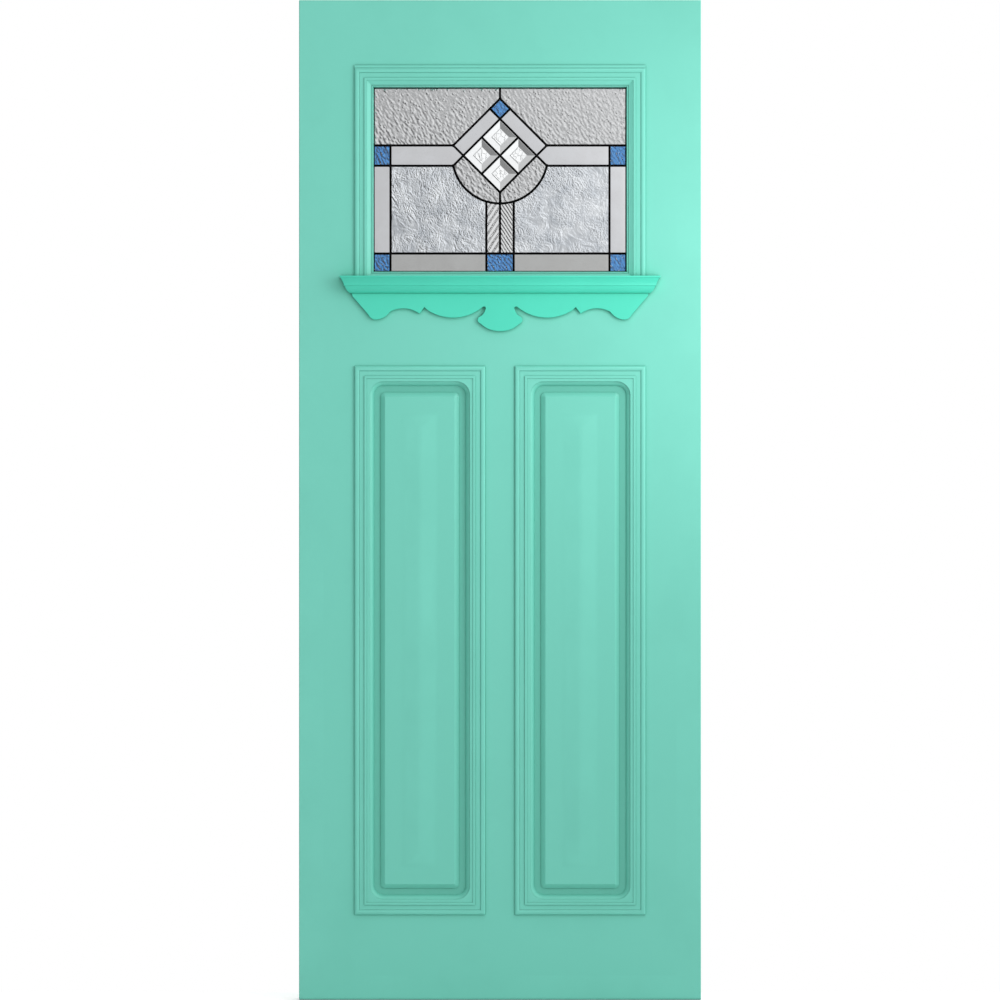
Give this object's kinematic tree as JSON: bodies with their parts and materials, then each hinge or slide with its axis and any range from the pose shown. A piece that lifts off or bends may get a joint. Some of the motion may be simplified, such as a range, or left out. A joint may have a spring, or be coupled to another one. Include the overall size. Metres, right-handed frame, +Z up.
{
  "type": "front door leaf with leadlight window and bracket shelf",
  "caption": "Painted timber entrance door leaf: tall raised and fielded panels below a geometric leadlight window with a moulded shelf and shaped apron.",
  "frame": {"origin": "middle of the hinge edge: half height, half thickness, on the edge face", "axes": "+X from the hinge edge to the lock edge, -Y out of the face with the shelf, +Z up"},
  "size_m": [0.82, 0.078, 2.04],
  "materials": {
    "leaf_paint": "satin mint green paint on timber",
    "shelf_paint": "satin mint green paint on timber, a little stronger in colour",
    "lead": "blackened lead came, dull",
    "plain_glass": "clear plain glass with a pale grey cast",
    "textured_glass": "clear rolled glass: hammered, frosted feather pattern and reeded",
    "bevelled_glass": "clear polished glass with wide ground bevels",
    "blue_glass": "mid blue hammered cathedral glass"
  },
  "bodies": {
    "root": {"door_leaf": "leaf_paint", "glass_bevel_bottom": "bevelled_glass", "glass_bevel_left": "bevelled_glass", "glass_bevel_right": "bevelled_glass", "glass_bevel_top": "bevelled_glass", "glass_bottom_bar_left": "plain_glass", "glass_bottom_bar_right": "plain_glass", "glass_bottom_centre": "blue_glass", "glass_bowl_left": "textured_glass", "glass_bowl_right": "textured_glass", "glass_diagonal_bar_left": "plain_glass", "glass_diagonal_bar_right": "plain_glass", "glass_hammered_top_left": "textured_glass", "glass_hammered_top_right": "textured_glass", "glass_lower_corner_left": "blue_glass", "glass_lower_corner_right": "blue_glass", "glass_reeded_strip_left": "textured_glass", "glass_reeded_strip_right": "textured_glass", "glass_side_bar_left": "plain_glass", "glass_side_bar_right": "plain_glass", "glass_top_diamond": "blue_glass", "glass_upper_bar_left": "plain_glass", "glass_upper_bar_right": "plain_glass", "glass_upper_corner_left": "blue_glass", "glass_upper_corner_right": "blue_glass", "glass_wispy_panel_left": "textured_glass", "glass_wispy_panel_right": "textured_glass", "glazing_bead_bottom": "leaf_paint", "glazing_bead_left": "leaf_paint", "glazing_bead_right": "leaf_paint", "glazing_bead_top": "leaf_paint", "lead_came": "lead", "left_panel_moulding_bottom": "leaf_paint", "left_panel_moulding_left": "leaf_paint", "left_panel_moulding_right": "leaf_paint", "left_panel_moulding_top": "leaf_paint", "right_panel_moulding_bottom": "leaf_paint", "right_panel_moulding_left": "leaf_paint", "right_panel_moulding_right": "leaf_paint", "right_panel_moulding_top": "leaf_paint", "shelf_apron": "shelf_paint", "window_moulding_left": "leaf_paint", "window_moulding_right": "leaf_paint", "window_moulding_top": "leaf_paint", "window_shelf": "shelf_paint", "window_sill_bead": "leaf_paint"}
  },
  "joints": []
}
